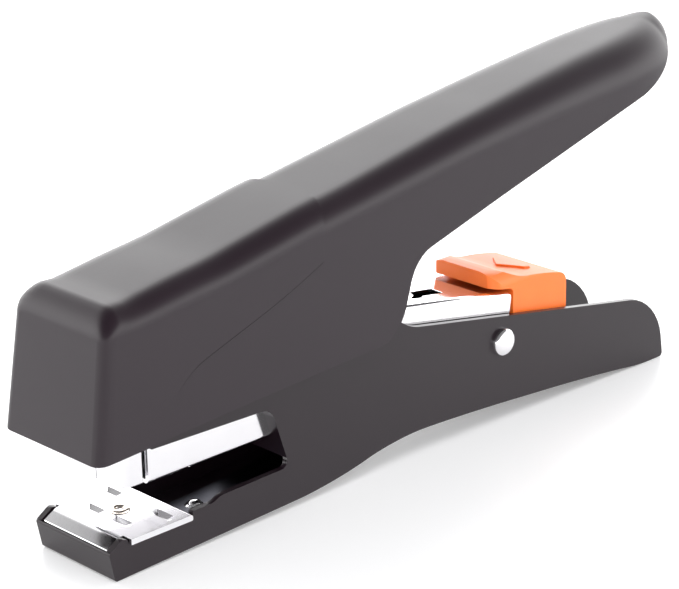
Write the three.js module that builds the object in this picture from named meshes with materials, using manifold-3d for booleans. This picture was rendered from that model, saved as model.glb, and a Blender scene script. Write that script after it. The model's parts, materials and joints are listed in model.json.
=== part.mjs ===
// A hand plier stapler: a pressed steel base with a jaw and anvil, a hinged handle that presses a lever arm down on a
// staple magazine, and a staple drawer with an orange release button that slides out of the back.
// Millimetres, +Z up. +X runs from the jaw to the back, and the mechanism is the same on both sides of Y = 0.
import * as THREE from "three";
import Module from "manifold-3d";
import { mergeVertices } from "three/addons/utils/BufferGeometryUtils.js";

const wasm = await Module();
wasm.setup();

// ---- Driving dimensions ----

const gap = 0.3; // clearance between pieces that touch
const sheet = 1.2; // base steel
const brightSheet = 0.8; // magazine, arm and guard steel

const baseWidth = 21;
const baseRear = 150.8; // back end of the base, from the jaw's front edge
const jawTop = 7.6; // top of the jaw's side walls
const windowTop = 22.4; // underside of the upper arms, above the throat
const windowRear = 41.9;
const armDeck = 29; // top of the upper arms behind the pivot
const soleLength = 53; // the jaw's straight sole, from its front edge
const soleRise = 1.75; // and its height at the back

const rivetX = 99.9; // rear rivet, on which the arm and the magazine turn
const rivetZ = 17.4;
const rivetRadius = 2;
const rivetHead = 2.85;
const rivetHeadHeight = 1.2;

const pivotX = 13; // handle pivot
const pivotZ = 32;
const pivotRadius = 2;

const handleNose = -4.7; // front of the nose at its lower edge
const handleRear = 155.8;
const handleClearance = 2.8; // from the base's side to the handle's outside
const handleWall = 1.2;
// The handle's top along its middle: place, height, and the rounding of its top edges there.
const crownLine = [
  [4, 49.9, 4.5],
  [20, 52.3, 5],
  [54, 57.9, 5.2],
  [90, 64, 6.2],
  [114, 67.9, 7.2],
  [handleRear - 27, 70, 8],
  [handleRear, 73.2, 8.8],
];
const capProud = 0.5; // the nose cap stands out from the shell's sides
const capLift = 0.8; // and from its top
const capEnd = 50; // back edge of the nose cap at its sides
const capBulge = 3.3; // and how much further back it reaches in the middle
const rearRound = 27; // length over which the handle's back end draws in
const rearSquareness = 3.6; // 2 is an ellipse, more is squarer
const noseBottom = 24;
const noseLean = 0.154; // how far the nose's front leans back per millimetre of height
const noseRound = 4.5;

const bracketSheet = 0.9;
const bracketTop = 46;
const bracketFront = 3.6;
const capScrews = [7, 30]; // places of the screws that hold the nose cap
const rollerX = 42;
const rollerRadius = 3;
const rollerHalf = 6;
const rollerPin = 1.5;

const armTilt = 9.25; // degrees that the lever arm is raised at rest
const armHeight = 9.55; // arm's top above the rivet's axis
const armFront = 94.2; // arm's front end, ahead of the rivet
const armRear = 3.1;
const armSkirt = 5.4; // depth of the arm's sides
const slotLength = 14;
const slotWidth = 3.4;
const slotCentre = [17.2, -2.2]; // ahead of the rivet, and across

const magazineBottom = 14.5;
const magazineTop = 21.4;
const magazineFront = 10.4;
const guardFront = 4.7;
const guardBottom = 15.2;
const guardTop = 24.2;
const guardSideLength = 5.2;
const guardRound = 2.4;

const stapleWidth = 13;
const stapleLeg = 6;
const stapleWire = 0.6;
const stripLength = 40;

const bladeThickness = 0.6;
const bladeLength = 19.5;
const bladeLean = 3.7; // degrees that the blade leans back at rest
const bladeRivet = 1.1;

const anvilTop = 7.4;
const anvilSheet = 0.9;
const anvilFront = 2.2;
const anvilRear = 17.6;
const lipDepth = 1.1;
const eyeletX = 9.9;
const eyeletRadius = 1.95;
const pocketFront = [6.9, 3.7];
const pocketRear = [13.8, 7.2];
const pocketSize = [1.35, 3.2, 0.55];

const springRivetX = 27.4;
const springRivetHead = 2.1;
const leafWidth = 8;
const leafSheet = 0.4;
const leafGap = 0.12; // the leaf lies nearly flat under its rivet

const railSheet = 0.7;
const railFront = 7.4;
const rodRadius = 0.9;
const pusherLength = 9;
const blockLength = 14;
const buttonFront = 104.9;
const buttonRear = 120.9;
const buttonTip = 98.7; // front of the thumb lip
const buttonWall = 1.4;
const buttonPinX = 113;
const buttonPinZ = 18.2;

// ---- Sizes that follow ----

const baseHalf = baseWidth / 2;
const handleHalf = baseHalf + handleClearance;
const anvilHalf = baseHalf + anvilSheet - 0.1;
const baseInner = baseHalf - sheet;
const armHalf = baseInner - 0.35;
const armInner = armHalf - brightSheet;
const magazineHalf = armInner - 0.3;
const magazineInner = magazineHalf - brightSheet;
const bracketInner = baseHalf + 0.4;
const bracketHalf = bracketInner + bracketSheet;
const magazineFloor = magazineBottom + brightSheet;
const stripTop = magazineFloor + gap + stapleLeg;
const bladeTip = stripTop + gap + 0.05;
const bladeX = guardFront + brightSheet + gap + bladeThickness / 2;
const stripFront = bladeX + bladeThickness / 2 + gap + 0.15; // clear of the blade's path
const stripRear = stripFront + stripLength;
const railHalf = stapleWidth / 2 - stapleWire - gap;
const railBottom = magazineFloor + gap;
const railTop = stripTop - stapleWire - gap;
const railRear = rivetX + 3;
const rodZ = (railBottom + railTop) / 2;
const pusherFront = stripRear + gap;
const pusherRear = pusherFront + pusherLength;
const buttonHalf = baseInner - 0.4;
const armAngle = THREE.MathUtils.degToRad(armTilt);
const bladeAngle = THREE.MathUtils.degToRad(bladeLean);
const rollerZ = aboveArm(rollerX, armHeight + gap + rollerRadius); // the roller rests on the arm's top

// The height at x of a line that lies this far above the rivet's axis and is tilted with the arm.
function aboveArm(x, height) {
  return rivetZ + height / Math.cos(armAngle) + (rivetX - x) * Math.tan(armAngle);
}

// ---- Shape helpers ----

// A closed outline through corners [x, y, radius]; a corner with a radius is rounded, as far as its sides are long.
function outline(corners) {
  const shape = new THREE.Shape();
  const point = (i) => {
    const [x, y] = corners[(i + corners.length) % corners.length];
    return new THREE.Vector2(x, y);
  };
  corners.forEach(([x, y, wanted = 0], i) => {
    const corner = point(i);
    const back = point(i - 1).sub(corner);
    const ahead = point(i + 1).sub(corner);
    const radius = Math.min(wanted, 0.48 * back.length(), 0.48 * ahead.length());
    const start = corner.clone().add(back.setLength(radius));
    const end = corner.clone().add(ahead.setLength(radius));
    if (i === 0) shape.moveTo(start.x, start.y);
    else shape.lineTo(start.x, start.y);
    if (radius > 0) shape.quadraticCurveTo(x, y, end.x, end.y);
  });
  return shape;
}

function rectangle(x0, x1, y0, y1, radius = 0) {
  return outline([
    [x0, y0, radius],
    [x1, y0, radius],
    [x1, y1, radius],
    [x0, y1, radius],
  ]);
}

// A closed geometry as a solid that can be joined and cut.
function solid(geometry) {
  const bare = geometry.index ? geometry.toNonIndexed() : geometry.clone();
  bare.deleteAttribute("normal");
  bare.deleteAttribute("uv");
  const merged = mergeVertices(bare, 1e-4);
  const vertProperties = merged.attributes.position.array;
  const triVerts = new Uint32Array(merged.index.array);
  return new wasm.Manifold(new wasm.Mesh({ numProp: 3, vertProperties, triVerts }));
}

function extrusion(shape, depth, steps = 5) {
  return new THREE.ExtrudeGeometry(shape, { depth, bevelEnabled: false, curveSegments: steps });
}

// A side outline (X, Z) carried across from one Y to another.
function across(shape, yMin, yMax, steps) {
  const geometry = extrusion(shape, yMax - yMin, steps).rotateX(Math.PI / 2);
  return solid(geometry.translate(0, yMax, 0));
}

// A plan outline (X, Y) carried up from one Z to another.
function upward(shape, zMin, zMax, steps) {
  return solid(extrusion(shape, zMax - zMin, steps).translate(0, 0, zMin));
}

function box(x0, x1, y0, y1, z0, z1) {
  const geometry = new THREE.BoxGeometry(x1 - x0, y1 - y0, z1 - z0);
  return solid(geometry.translate((x0 + x1) / 2, (y0 + y1) / 2, (z0 + z1) / 2));
}

// A round bar across the object, along Y.
function barAcross(x, z, radius, y0, y1, sides = 24) {
  const geometry = new THREE.CylinderGeometry(radius, radius, y1 - y0, sides);
  return solid(geometry.translate(x, (y0 + y1) / 2, z));
}

// A round bar along X.
function barAlong(x0, x1, y, z, radius, sides = 16) {
  const geometry = new THREE.CylinderGeometry(radius, radius, x1 - x0, sides).rotateZ(Math.PI / 2);
  return solid(geometry.translate((x0 + x1) / 2, y, z));
}

// A round bar upright, along Z.
function barUp(x, y, z0, z1, radius, sides = 20) {
  const geometry = new THREE.CylinderGeometry(radius, radius, z1 - z0, sides).rotateX(Math.PI / 2);
  return solid(geometry.translate(x, y, (z0 + z1) / 2));
}

// A turned piece: its profile [radius, height] stands on the axis and is closed by it.
function turned(profile, sides = 24) {
  const points = profile.map(([r, h]) => new THREE.Vector2(r, h));
  return new THREE.LatheGeometry(points, sides);
}

// A round wire wound about an axis along Z, from z = 0 up.
function coil(radius, wire, height, turns) {
  const around = (t) => t * turns * 2 * Math.PI;
  class Helix extends THREE.Curve {
    getPoint(t, target = new THREE.Vector3()) {
      const a = around(t);
      return target.set(radius * Math.cos(a), radius * Math.sin(a), wire + t * (height - 2 * wire));
    }
  }
  const section = new THREE.Shape().absarc(0, 0, wire, 0, 2 * Math.PI);
  const settings = { extrudePath: new Helix(), steps: Math.round(turns * 8), curveSegments: 3 };
  return new THREE.ExtrudeGeometry(section, settings);
}

// ---- Materials ----

function finish(color, roughness, metalness) {
  return new THREE.MeshStandardMaterial({ color, roughness, metalness });
}

const blackPaint = finish(0x2e2a30, 0.45, 0.2);
const blackPlastic = finish(0x3a363b, 0.55, 0);
const chrome = finish(0xe8e8ec, 0.15, 1);
const steel = finish(0xb9babd, 0.35, 1);
const orange = finish(0xf0762a, 0.4, 0);
const brass = finish(0xd8c8a8, 0.3, 1);

const stapler = new THREE.Group();

function addGeometry(name, geometry, material) {
  const mesh = new THREE.Mesh(geometry, material);
  mesh.name = name;
  stapler.add(mesh);
}

function add(name, made, material) {
  const { vertProperties, triVerts } = made.getMesh();
  const geometry = new THREE.BufferGeometry();
  geometry.setAttribute("position", new THREE.BufferAttribute(vertProperties, 3));
  geometry.setIndex(new THREE.BufferAttribute(triVerts, 1));
  addGeometry(name, geometry, material);
}

// ---- Base ----

// The base's underside from front to back, lifted by the steel's thickness for its inside.
function sole(lift) {
  return [
    [soleLength, soleRise + lift, 9],
    [70, 5.8 + lift, 8],
    [90.6, 4.9 + lift, 20],
    [127, 2 + lift, 20],
    [143.4, lift, 2],
  ];
}

function baseChannel() {
  const side = outline([
    [0, 0, 0.4],
    ...sole(0),
    [baseRear, 0, 1.2],
    [baseRear - 2, 13.9, 9],
    [74, 27.4, 2.5],
    [71, armDeck + 1, 1],
    [66, armDeck, 1],
    [26, armDeck, 3],
    [pivotX + 6, pivotZ + 5, 3],
    [pivotX - 4.4, pivotZ + 5, 3],
    [pivotX - 4, windowTop, 0.8],
    [windowRear - 4.1, windowTop - 0.8, 2.5],
    [windowRear, 8.8, 2],
    [25, 8.5, 0.8],
    [23, jawTop, 0.8],
    [anvilRear + 0.6, jawTop],
    [anvilRear + 0.6, anvilTop - lipDepth + 0.2],
    [anvilFront + 1.2, anvilTop - lipDepth + 0.2],
    [anvilFront + 1, jawTop - 0.4, 0.4],
    [anvilFront - 0.3, jawTop, 0.5],
    [-1.1, 5.7, 0.4],
  ]);
  const inside = outline([
    [sheet, sheet],
    ...sole(sheet),
    [baseRear + 5, sheet],
    [baseRear + 5, 60],
    [0.2, 60],
    [0.2, 7],
  ]);
  const tabRelief = box(-3, 4, -baseInner, baseInner, 4.9, 9);
  const rivetHole = barAcross(rivetX, rivetZ, rivetRadius + gap, -20, 20);
  const pivotHole = barAcross(pivotX, pivotZ, pivotRadius + gap, -20, 20);
  const springHole = barUp(springRivetX, 0, -1, 4, 1 + gap);
  return across(side, -baseHalf, baseHalf, 6)
    .subtract(across(inside, -baseInner, baseInner, 6))
    .subtract(tabRelief)
    .subtract(rivetHole)
    .subtract(pivotHole)
    .subtract(springHole);
}

// The plate lies on the jaw's walls, folds down over their outsides, and slopes down at the front between them.
function anvilPlate() {
  const under = anvilTop - anvilSheet;
  const lipBottom = anvilTop - lipDepth;
  const plate = box(anvilFront + 1.4, anvilRear, -anvilHalf, anvilHalf, lipBottom, anvilTop);
  const beneath = box(0, anvilRear + 1, -baseHalf - gap, baseHalf + gap, lipBottom - 1, under);
  const flange = outline([
    [anvilFront - 2.8, 5.75],
    [anvilFront - 2.45, 5.2],
    [anvilFront + 0.3, under],
    [anvilFront + 2, under],
    [anvilFront + 2, anvilTop],
    [anvilFront, anvilTop, 0.4],
  ]);
  const slope = across(flange, -baseInner + gap, baseInner - gap);
  const shank = barUp(eyeletX, 0, 0, 10, 1.1 + gap);
  let made = plate.subtract(beneath).add(slope).subtract(shank);
  for (const [x, y] of [pocketFront, pocketRear])
    for (const side of [-1, 1]) {
      const [sx, sy, sz] = pocketSize;
      const pocket = new THREE.SphereGeometry(1, 16, 10).scale(sx, sy, sz);
      made = made.subtract(solid(pocket.translate(x, side * y, anvilTop)));
    }
  return made;
}

function anvilEyelet() {
  const top = anvilTop + gap;
  const profile = [
    [0, anvilTop - 2.4],
    [1.1, anvilTop - 2.4],
    [1.1, top],
    [eyeletRadius, top],
    [eyeletRadius - 0.25, top + 0.2],
    [1.1, top + 0.3],
    [0.6, top + 0.1],
    [0, top + 0.1],
  ];
  return turned(profile).rotateX(Math.PI / 2).translate(eyeletX, 0, 0);
}

// The floor's height inside the base, along the jaw's straight sole.
function floorAt(x) {
  return sheet + (soleRise * x) / soleLength;
}

function floorRivet() {
  const seat = floorAt(springRivetX) + leafGap + leafSheet + leafGap;
  const profile = [
    [0, 0.7],
    [1, 0.7],
    [1, seat],
    [springRivetHead, seat],
    [springRivetHead, seat + 0.3],
    [springRivetHead * 0.7, seat + 0.65],
    [0, seat + 0.8],
  ];
  return turned(profile).rotateX(Math.PI / 2).translate(springRivetX, 0, 0);
}

// A leaf spring riveted to the floor that holds the magazine up.
function liftSpring() {
  const start = springRivetX - 4;
  const flat = springRivetX + 3.5;
  const low = (x) => floorAt(x) + leafGap;
  const leaf = outline([
    [start, low(start)],
    [flat, low(flat)],
    [46, low(46) + 0.6, 3],
    [80, magazineBottom - gap - leafSheet, 4],
    [84, magazineBottom - gap - 1.6],
    [84, magazineBottom - gap - 1],
    [80, magazineBottom - gap, 4],
    [46, low(46) + 0.6 + leafSheet, 3],
    [flat, low(flat) + leafSheet],
    [start, low(start) + leafSheet],
  ]);
  const hole = barUp(springRivetX, 0, 0, 8, 1 + gap);
  return across(leaf, -leafWidth / 2, leafWidth / 2).subtract(hole);
}

// One of the two stub rivets on which the arm and the magazine turn; side is -1 or 1.
function rearRivet(side) {
  const inner = magazineInner + 0.05;
  const outer = baseHalf + gap;
  const profile = [
    [0, inner],
    [rivetRadius, inner],
    [rivetRadius, outer],
    [rivetHead, outer],
    [rivetHead, outer + 0.3],
    [rivetHead * 0.72, outer + rivetHeadHeight * 0.8],
    [rivetHead * 0.36, outer + rivetHeadHeight],
    [0, outer + rivetHeadHeight],
  ];
  const geometry = turned(profile, 28);
  if (side < 0) geometry.rotateX(Math.PI);
  return geometry.translate(rivetX, 0, rivetZ);
}

function pivotStud(side) {
  const inner = side * (baseInner + 0.05);
  const outer = side * (bracketHalf - 0.05);
  return barAcross(pivotX, pivotZ, pivotRadius, Math.min(inner, outer), Math.max(inner, outer));
}

// ---- Handle ----

// Half the handle's width at x: its back end draws in to a squarish round.
function halfAt(x, half, rear) {
  const share = Math.min(Math.max((x - (rear - rearRound)) / rearRound, 0), 1);
  return half * (1 - share ** rearSquareness) ** (1 / rearSquareness);
}

// The handle's full outer form, drawn in on every side by inset: the hull of its rounded nose and of arches along it.
function handleForm(halfWidth, lift, inset) {
  const half = halfWidth - inset;
  const rear = handleRear - inset;
  const points = [];
  const arch = (x, height, wanted) => {
    const width = halfAt(x, half, rear);
    const round = wanted - inset;
    for (let i = 0; i <= 8; i++) {
      const y = width * Math.sin((Math.PI / 16) * i);
      const short = Math.max(round - (width - y), 0);
      const z = height + lift - inset - round + Math.sqrt(round ** 2 - short ** 2);
      points.push([x, y, z], [x, -y, z]);
    }
    points.push([x, width, 0], [x, -width, 0]);
  };
  const [start, ...along] = crownLine;
  const [[straight, straightTop, straightRound], [, endTop, endRound]] = along.slice(-2);
  for (const [x, height, round] of along.slice(0, -1)) arch(x, height, round);
  for (const angle of [20, 35, 48, 60, 70, 78, 84, 88, 90]) {
    const share = Math.sin(THREE.MathUtils.degToRad(angle)) ** (2 / rearSquareness);
    const x = rear - rearRound + rearRound * share;
    arch(x, straightTop + (endTop - straightTop) * share, straightRound + (endRound - straightRound) * share);
  }
  const round = noseRound - inset;
  const ball = start[1] + lift - noseRound;
  const front = (z) => handleNose + noseLean * (z - noseBottom) + noseRound * Math.hypot(1, noseLean);
  for (let i = 0; i < 24; i++) {
    const a = (i / 24) * 2 * Math.PI;
    for (const side of [-1, 1]) {
      const y = side * (halfWidth - noseRound);
      for (let j = 0; j <= 5; j++) {
        const b = (j / 10) * Math.PI;
        const across = round * Math.cos(b);
        points.push([front(ball) + across * Math.cos(a), y + across * Math.sin(a), ball + round * Math.sin(b)]);
      }
      points.push([front(0) + round * Math.cos(a), y + round * Math.sin(a), 0]);
    }
  }
  return wasm.Manifold.hull(points);
}

// Everything above the handle's lower edge.
function aboveLowerEdge() {
  const region = outline([
    [-20, noseBottom],
    [handleNose, noseBottom],
    [42.2, 26.5, 10],
    [65.5, 27.5, 2],
    [69.5, 31.5, 2],
    [73.4, 42.4, 4],
    [115.8, 54.1, 20],
    [handleRear - 19, 59.4, 6],
    [handleRear - 12, 61.1, 4],
    [handleRear - 6, 65.3, 6],
    [handleRear - 1.8, 70, 4],
    [handleRear + 0.5, 72.6],
    [handleRear + 5, 100],
    [-20, 100],
  ]);
  return across(region, -20, 20);
}

// Everything ahead of the nose cap's back edge, moved back by shift. Seen from above, that edge is an arc.
function capRegion(shift) {
  const side = outline([
    [-20, 0],
    [8.6 + shift, 0],
    [8.6 + shift, 25.2, 1],
    [14.6 + shift, 35.2 - shift, 6],
    [42 + shift, 44.2 - shift, 8],
    [capEnd + shift, 48 - shift, 4],
    [capEnd + shift, 53, 1],
    [capEnd + 10, 53],
    [capEnd + 10, 70],
    [-20, 70],
  ]);
  const half = handleHalf + capProud + 1;
  const plan = new THREE.Shape();
  plan.moveTo(-20, -half);
  plan.lineTo(capEnd + shift, -half);
  plan.quadraticCurveTo(capEnd + shift + 2 * capBulge, 0, capEnd + shift, half);
  plan.lineTo(-20, half);
  return across(side, -half, half).intersect(upward(plan, 0, 80, 12));
}

function handleShell() {
  const outer = handleForm(handleHalf, 0, 0);
  const inner = handleForm(handleHalf, 0, handleWall);
  return outer.subtract(inner).intersect(aboveLowerEdge()).subtract(capRegion(gap));
}

function noseCap() {
  const thick = handleWall + capProud;
  const outer = handleForm(handleHalf + capProud, capLift, 0);
  const inner = handleForm(handleHalf + capProud, capLift, thick);
  let made = outer.subtract(inner).intersect(aboveLowerEdge()).intersect(capRegion(0));
  for (const x of capScrews) {
    const boss = barUp(x, 0, bracketTop + gap, crownLine[0][1] + 0.13 * x, 2.6);
    const bore = barUp(x, 0, bracketTop - 1, bracketTop + 3.4, 1 + gap);
    made = made.add(boss).subtract(bore);
  }
  return made;
}

// A steel channel inside the handle that turns on the pivot studs and carries the press roller.
function handleBracket() {
  const side = outline([
    [pivotX - 5, 28.5, 2],
    [60, 30, 3],
    [64, 36, 3],
    [64, bracketTop, 2],
    [bracketFront, bracketTop],
    [bracketFront, bracketTop - 3],
    [pivotX - 5, 37, 2],
  ]);
  const channel = across(side, -bracketHalf, bracketHalf);
  const hollow = box(-10, 80, -bracketInner, bracketInner, 20, bracketTop - bracketSheet);
  let made = channel
    .subtract(hollow)
    .subtract(barAcross(pivotX, pivotZ, pivotRadius + gap, -20, 20))
    .subtract(barAcross(rollerX, rollerZ, rollerPin + gap, -20, 20));
  for (const x of capScrews) made = made.subtract(barUp(x, 0, 40, 50, 1 + gap));
  return made;
}

function capScrew(x) {
  const seat = bracketTop - bracketSheet - gap;
  const profile = [
    [0, seat - 1.4],
    [1.7, seat - 1.4],
    [2, seat - 1],
    [2, seat],
    [1, seat],
    [1, bracketTop + 3],
    [0, bracketTop + 3],
  ];
  return turned(profile, 16).rotateX(Math.PI / 2).translate(x, 0, 0);
}

function pressRoller() {
  const tyre = barAcross(rollerX, rollerZ, rollerRadius, -rollerHalf, rollerHalf);
  return tyre.subtract(barAcross(rollerX, rollerZ, rollerPin + gap, -10, 10));
}

function pinAcross() {
  return barAcross(rollerX, rollerZ, rollerPin, -bracketHalf + 0.05, bracketHalf - 0.05, 20);
}

// ---- Lever arm ----

// The arm is drawn level with its rivet at the origin, then raised to its rest angle.
function raised(made) {
  const turn = new THREE.Matrix4().makeRotationY(armAngle);
  const place = new THREE.Matrix4().makeTranslation(rivetX, 0, rivetZ);
  return made.transform(place.multiply(turn).elements);
}

function driverArm() {
  const skirt = armHeight - armSkirt;
  const corners = (inset, drop) => [
    [armRear - inset, armHeight - inset, 1.2],
    [-armFront + inset, armHeight - inset, 1],
    [-armFront + inset, skirt - drop],
    [-24, skirt - 1.2 - drop, 8],
    [-6, -4.4 - drop, 3],
    [armRear - inset, -4.4 - drop],
  ];
  const outer = across(outline(corners(0, 0)), -armHalf, armHalf);
  const level = [...corners(brightSheet, 20)];
  level[0] = [armRear + 5, armHeight - brightSheet];
  level[5] = [armRear + 5, -30];
  const hollow = across(outline(level), -armInner, armInner);
  const [ahead, aside] = slotCentre;
  const slot = rectangle(-ahead - slotLength / 2, -ahead + slotLength / 2, aside - slotWidth / 2, aside + slotWidth / 2, 0.8);
  let made = outer
    .subtract(hollow)
    .subtract(upward(slot, 0, 20))
    .subtract(barAcross(0, 0, rivetRadius + gap, -20, 20));
  made = raised(made);
  for (const side of [-1, 1]) made = made.subtract(bladeRivetBar(side, gap));
  return made;
}

// The blade hangs from the arm's front end, leaning back a little so that it comes upright as it drives.
function leaned(made) {
  const turn = new THREE.Matrix4().makeRotationY(bladeAngle);
  const place = new THREE.Matrix4().makeTranslation(bladeX, 0, bladeTip);
  return made.transform(place.multiply(turn).elements);
}

function driverBlade() {
  const half = stapleWidth / 2 - 0.2;
  const t = bladeThickness / 2;
  const plate = box(-t, t, -half, half, 0, bladeLength);
  let made = leaned(plate);
  for (const side of [-1, 1]) made = made.subtract(bladeRivetBar(side, gap));
  return made;
}

function bladeRivetBar(side, extra) {
  const shank = barAlong(-1.3, 3.4, side * 3.6, bladeLength - 2.2, bladeRivet + extra);
  return leaned(shank);
}

function returnSpring() {
  const x = 30;
  const under = aboveArm(x, armHeight - brightSheet);
  const start = stripTop + gap;
  const height = under - start - 1.2;
  return coil(3, 0.45, height, 5).translate(x, 0, start);
}

// ---- Magazine ----

function magazineChannel() {
  const outer = box(magazineFront, railRear, -magazineHalf, magazineHalf, magazineBottom, magazineTop);
  const hollow = box(magazineFront - 1, railRear + 1, -magazineInner, magazineInner, magazineFloor, magazineTop + 1);
  const notch = box(magazineFront + 8.2, magazineFront + 10.2, -20, 20, 0, magazineBottom + 0.5);
  return outer.subtract(hollow).subtract(notch).subtract(barAcross(rivetX, rivetZ, rivetRadius + gap, -20, 20));
}

// A bright hood folded round the front of the magazine, which the blade slides behind.
function frontGuard() {
  const plan = (inset, extra) => [
    [guardFront + inset, -magazineHalf + inset, guardRound - inset],
    [guardFront + guardSideLength + extra, -magazineHalf + inset],
    [guardFront + guardSideLength + extra, magazineHalf - inset],
    [guardFront + inset, magazineHalf - inset, guardRound - inset],
  ];
  const outer = upward(outline(plan(0, 0)), guardBottom, guardTop);
  const inner = upward(outline(plan(brightSheet, 2)), guardBottom - 1, guardTop + 1);
  return outer.subtract(inner);
}

function stapleStrip() {
  const half = stapleWidth / 2;
  const legs = box(stripFront, stripRear, -half, half, stripTop - stapleLeg, stripTop);
  const inside = box(stripFront - 1, stripRear + 1, -half + stapleWire, half - stapleWire, 0, stripTop - stapleWire);
  return legs.subtract(inside);
}

// ---- Drawer ----

function stapleRail() {
  const outer = box(railFront, railRear, -railHalf, railHalf, railBottom, railTop);
  const hollow = box(
    railFront + railSheet,
    railRear + 1,
    -railHalf + railSheet,
    railHalf - railSheet,
    railBottom + railSheet,
    railTop + 1,
  );
  return outer.subtract(hollow);
}

function pusherRod() {
  return barAlong(railFront + railSheet + gap, railRear - 0.5, 0, rodZ, rodRadius);
}

function staplePusher() {
  const outerHalf = stapleWidth / 2;
  const saddle = box(pusherFront, pusherRear, -outerHalf, outerHalf, railBottom, stripTop);
  const railSpace = box(pusherFront - 1, pusherRear + 1, -railHalf - gap, railHalf + gap, 0, railTop + gap);
  const tongueHalf = railHalf - railSheet - gap;
  const tongue = box(pusherFront, pusherRear, -tongueHalf, tongueHalf, railBottom + railSheet + gap, stripTop - 0.1);
  const bore = barAlong(pusherFront - 1, pusherRear + 1, 0, rodZ, rodRadius + gap);
  return saddle.subtract(railSpace).add(tongue).subtract(bore);
}

function pusherSpring() {
  const length = railRear - 1 - (pusherRear + gap);
  const made = coil(rodRadius + 0.5, 0.3, length, 14).rotateY(Math.PI / 2);
  return made.translate(pusherRear + gap, 0, rodZ);
}

// The plastic block at the back of the drawer: it holds the rail and carries the release button.
function drawerBlock() {
  const front = buttonFront + buttonWall + gap;
  const end = front + blockLength - 2;
  const half = buttonHalf - buttonWall - gap;
  const body = box(front, end, -half, half, railBottom, 20.5);
  const neck = box(railRear + gap, front + 1, -railHalf, railHalf, railBottom, railTop);
  const pin = barAcross(buttonPinX, buttonPinZ, 1 + gap, -20, 20);
  const springWell = barUp(buttonPinX - 4, 0, 18.5, 25, 1.9);
  return body.add(neck).subtract(pin).subtract(springWell);
}

function releaseButton() {
  const foot = railBottom + 0.6;
  const side = outline([
    [buttonFront, foot, 0.5],
    [buttonRear, foot, 0.5],
    [buttonRear, 26.4, 1.5],
    [117.4, 27.9, 4],
    [113.4, 28.8, 4],
    [109.6, 28.2, 3],
    [106.4, 29.6, 3],
    [102.8, 31.6, 3],
    [buttonTip, 31.8, 1.4],
    [buttonTip, 28.6, 1],
    [buttonFront, 27.4],
  ]);
  const inside = box(
    buttonFront + buttonWall,
    buttonRear - buttonWall,
    -buttonHalf + buttonWall,
    buttonHalf - buttonWall,
    0,
    23.6,
  );
  const neckSpace = box(0, buttonFront + 5, -railHalf - gap, railHalf + gap, 0, railTop + gap + 0.6);
  // The top rounds over into its sides, and the lip's corners are round in plan.
  const section = outline([
    [-buttonHalf, 0],
    [buttonHalf, 0],
    [buttonHalf, 30.6, 2.6],
    [0, 33.4, 6],
    [-buttonHalf, 30.6, 2.6],
  ]);
  const arched = solid(
    extrusion(section, 40, 6).rotateX(Math.PI / 2).rotateZ(Math.PI / 2).translate(90, 0, 0),
  );
  const plan = upward(rectangle(buttonTip, buttonRear + 5, -buttonHalf, buttonHalf, 4), 0, 50);
  return across(side, -buttonHalf, buttonHalf)
    .intersect(arched)
    .intersect(plan)
    .subtract(inside)
    .subtract(neckSpace)
    .subtract(barAcross(buttonPinX, buttonPinZ, 1 + gap, -20, 20));
}

function buttonPin() {
  return barAcross(buttonPinX, buttonPinZ, 1, -buttonHalf + 0.1, buttonHalf - 0.1, 16);
}

function buttonSpring() {
  return coil(1.2, 0.25, 4.2, 5).translate(buttonPinX - 4, 0, 18.9);
}

// ---- Assembly ----

add("base_channel", baseChannel(), blackPaint);
add("anvil_plate", anvilPlate(), chrome);
addGeometry("anvil_eyelet", anvilEyelet(), brass);
addGeometry("floor_rivet", floorRivet(), chrome);
add("lift_spring", liftSpring(), steel);
addGeometry("rear_rivet_left", rearRivet(-1), chrome);
addGeometry("rear_rivet_right", rearRivet(1), chrome);
add("pivot_stud_left", pivotStud(-1), steel);
add("pivot_stud_right", pivotStud(1), steel);

add("handle_shell", handleShell(), blackPlastic);
add("nose_cap", noseCap(), blackPlastic);
add("handle_bracket", handleBracket(), steel);
add("roller_pin", pinAcross(), steel);
addGeometry("cap_screw_front", capScrew(capScrews[0]), steel);
addGeometry("cap_screw_rear", capScrew(capScrews[1]), steel);
add("press_roller", pressRoller(), steel);

add("driver_arm", driverArm(), chrome);
add("driver_blade", driverBlade(), steel);
add("blade_rivet_left", bladeRivetBar(-1, 0), steel);
add("blade_rivet_right", bladeRivetBar(1, 0), steel);
addGeometry("return_spring", returnSpring(), steel);

add("magazine_channel", magazineChannel(), chrome);
add("front_guard", frontGuard(), chrome);
add("staple_strip", stapleStrip(), steel);

add("staple_rail", stapleRail(), steel);
add("pusher_rod", pusherRod(), steel);
addGeometry("pusher_spring", pusherSpring(), steel);
add("staple_pusher", staplePusher(), steel);
add("drawer_block", drawerBlock(), blackPlastic);
add("release_button", releaseButton(), orange);
add("button_pin", buttonPin(), steel);
addGeometry("button_spring", buttonSpring(), steel);

stapler.position.x = -(handleNose + handleRear) / 2;

export default stapler;
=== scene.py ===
"""The finished look of a hand plier stapler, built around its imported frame.

The black sheet-steel base, the moulded handle and its nose cap, the bright lever arm, magazine, guard and
anvil and the orange release button are modelled here. The small inner pieces keep their frame shapes and get
a finish.
"""

from __future__ import annotations

import json
import logging
import math
from dataclasses import dataclass
from enum import Enum
from typing import Callable

import bmesh
import bpy
from mathutils import Matrix, Vector
from mathutils.kdtree import KDTree


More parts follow.
